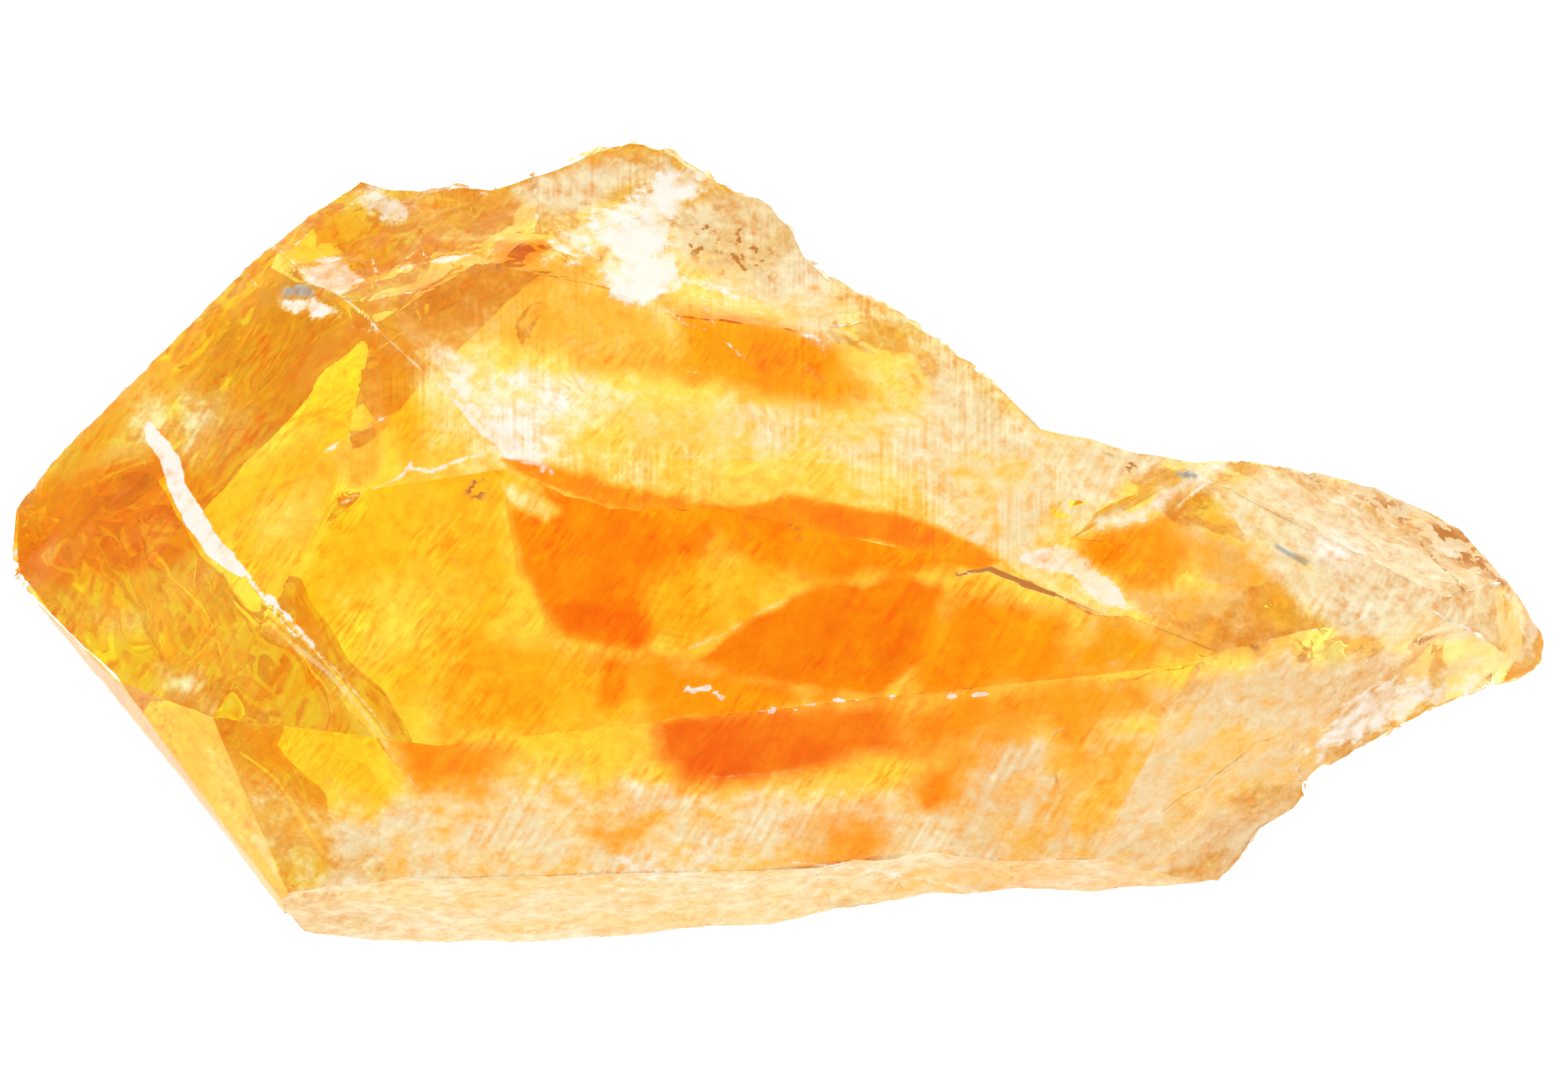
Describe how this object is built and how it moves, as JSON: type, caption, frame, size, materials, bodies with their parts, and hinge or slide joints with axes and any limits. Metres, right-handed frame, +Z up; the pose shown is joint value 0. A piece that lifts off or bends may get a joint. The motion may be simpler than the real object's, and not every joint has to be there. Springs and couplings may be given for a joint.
{
  "type": "citrine crystal point",
  "caption": "Rough citrine quartz point with flat growth faces, a chipped tip, a broken root and a flat face that it lies on.",
  "frame": {"origin": "middle of the bounding box in plan, on the surface the stone lies on", "axes": "+X from the tip towards the broken root, along the stone's longest extent, and +Z up from the flat face it lies on"},
  "size_m": [0.0499, 0.0265, 0.0178],
  "materials": {
    "citrine": "clear glassy orange to pale yellow quartz, cloudy and pale towards the lower side and the root, with frosted broken patches"
  },
  "bodies": {
    "root": {"citrine_point": "citrine"}
  },
  "joints": []
}
